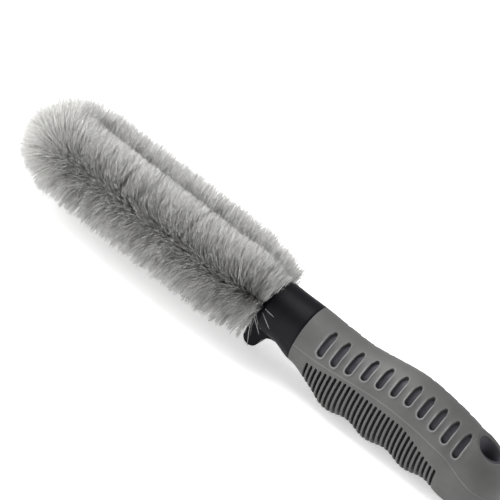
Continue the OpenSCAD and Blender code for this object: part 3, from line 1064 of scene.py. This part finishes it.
def shade_map(n, rings, rng):
    """Each corner's place in the map: every tuft in the column of its own shade, and the length upwards."""
    shades = rng.integers(0, FILAMENT_COLUMNS, n // TUFT + 1)
    column = (np.repeat(shades, TUFT)[:n] + 0.5) / FILAMENT_COLUMNS
    margin = np.array([-0.3, 0.0, 0.3]) / FILAMENT_COLUMNS
    u = np.repeat((column[:, None, None] + margin[None, None, :]), rings, axis=1)
    v = np.broadcast_to((0.02 + 0.96 * RINGS_AT)[None, :, None], u.shape)
    return np.stack([u, v], axis=-1).reshape(-1, 2)


def filament_mesh(name, line, rng, material):
    """A mesh of thin closed tubes round the centre lines, with the map that gives each its shade."""
    n, rings, _ = line.shape
    verts = tube_corners(line, rng).reshape(-1, 3) * MM
    sides, ends = tube_sides_and_ends(n, rings)
    loops = np.concatenate([sides.ravel(), ends.ravel()]).astype(np.int32)
    sizes = np.concatenate([np.full(len(sides), 4), np.full(len(ends), 3)])
    starts = np.concatenate([[0], np.cumsum(sizes)[:-1]]).astype(np.int32)

    mesh = bpy.data.meshes.new(name)
    mesh.vertices.add(len(verts))
    mesh.vertices.foreach_set("co", verts.ravel().astype(np.float32))
    mesh.loops.add(len(loops))
    mesh.loops.foreach_set("vertex_index", loops)
    mesh.polygons.add(len(sizes))
    mesh.polygons.foreach_set("loop_start", starts)
    mesh.polygons.foreach_set("use_smooth", np.ones(len(sizes), bool))
    mesh.update(calc_edges=True)
    layer = mesh.uv_layers.new(name=FILAMENT_MAP)
    layer.uv.foreach_set("vector", shade_map(n, rings, rng)[loops].ravel().astype(np.float32))
    mesh.materials.append(material)
    return add_object(name, mesh)


def bristle_bands():
    """Name, start and length along the wire of each band of filaments, as in the CAD."""
    half_bend, far_start = BEND_L / 2, LEG_L + BEND_L
    near = [(f"near_bristles_{i}", LEG_L - i * TURN_L, TURN_L) for i in range(1, TURNS + 1)]
    tip = [("tip_bristles_near", LEG_L, half_bend), ("tip_bristles_far", LEG_L + half_bend, half_bend)]
    far = [(f"far_bristles_{i}", far_start + (i - 1) * TURN_L, TURN_L) for i in range(1, TURNS + 1)]
    return near + tip + far


def build_bristles(material):
    """One piece for each band of filaments, each standing for the CAD solid of that band."""
    for number, (node, start, length) in enumerate(bristle_bands()):
        rng = np.random.default_rng(400 + number)
        count = int(length * FILAMENTS_PER_MM * (1.5 if node.startswith("tip") else 1.0))
        near, last = node.startswith("near"), node.endswith(f"_{TURNS}")
        first = start - OVERRUN if last and near else start
        end = start + length + OVERRUN if last and not near else start + length
        lines = [grow_filaments(rng, first, end, count)]
        lines.append(grow_crimped(rng, first, end, count // CRIMPED_EACH))
        if last:
            lines.append(grow_strays(rng, near))
        if last and near:
            lines.append(grow_clumps(rng))
        obj = filament_mesh(node.replace("bristles", "filaments"), np.concatenate(lines), rng, material)
        place(obj, "bristle", node)


# ---- stage ----

def build_stage():
    """A white floor, a white world and soft lights."""
    bpy.ops.mesh.primitive_plane_add(size=6, location=(0, 0, 0))
    floor = bpy.context.object
    floor.name = "floor"
    glow = {"Emission Color": (1, 1, 1, 1), "Emission Strength": 0.5}
    paper = Nodes("floor_paper", {"Roughness": 0.9, **glow})
    tone = paper.ramp(paper.noise(3, 2), [(0.3, (0.86, 0.86, 0.86)), (0.7, (0.88, 0.88, 0.88))])
    paper.shade("Base Color", tone)
    floor.data.materials.append(paper.material)

    scene = bpy.context.scene
    world = bpy.data.worlds.new("studio")
    world.use_nodes = True
    set_inputs(world.node_tree.nodes["Background"], {"Color": (1, 1, 1, 1), "Strength": 0.38})
    scene.world = world
    scene.view_settings.view_transform = "Standard"

    for name, spot, size, power in (
        ("key", (-0.6, 0.0, 0.8), 0.6, 12.5),
        ("tip", (-1.0, -0.25, 0.25), 0.5, 13.0),
        ("tail", (0.9, 0.25, 0.5), 0.5, 4.0),
        ("front", (-0.5, -1.0, 0.15), 0.4, 2.0),
    ):
        light = bpy.data.lights.new(name, "AREA")
        light.size = size
        light.energy = power
        lamp = add_object(name, light)
        lamp.location = spot
        lamp.rotation_euler = (-Vector(spot)).to_track_quat("-Z", "Y").to_euler()


# The camera, in metres and radians, with a long lens from far off. ROLL turns the picture.
AZIMUTH, ELEVATION, ROLL = math.radians(16), math.radians(30), math.radians(29.5)
DISTANCE = 8.0
LENS = 1330
TARGET = (-0.0197, 0.0062, AXIS_Z * MM + 0.0103)


def build_camera():
    """The camera, at the photograph's viewing angle."""
    back = Vector((
        math.sin(AZIMUTH) * math.cos(ELEVATION),
        -math.cos(AZIMUTH) * math.cos(ELEVATION),
        math.sin(ELEVATION),
    ))
    camera = add_object("camera", bpy.data.cameras.new("camera"))
    camera.data.lens = LENS
    camera.data.sensor_width = 36
    camera.data.clip_start = 0.01
    turn = (-back).to_track_quat("-Z", "Y").to_matrix().to_4x4()
    place_of_camera = Matrix.Translation(Vector(TARGET) + back * DISTANCE)
    camera.matrix_world = place_of_camera @ turn @ Matrix.Rotation(ROLL, 4, "Z")
    bpy.context.scene.camera = camera


# ---- assembly ----

build_stage()
build_camera()

core = build_core(core_material())
place(core, "core", "handle_core")
grip = build_grip(rubber_material())
place(grip, "grip", "grip_sleeve")

steel = wire_material()
for letter, phase in (("a", 0.0), ("b", math.pi)):
    place(build_strand(f"wire_{letter}", phase, steel), "wire", f"wire_strand_{letter}")

build_bristles(filament_material())

bpy.context.view_layer.update()
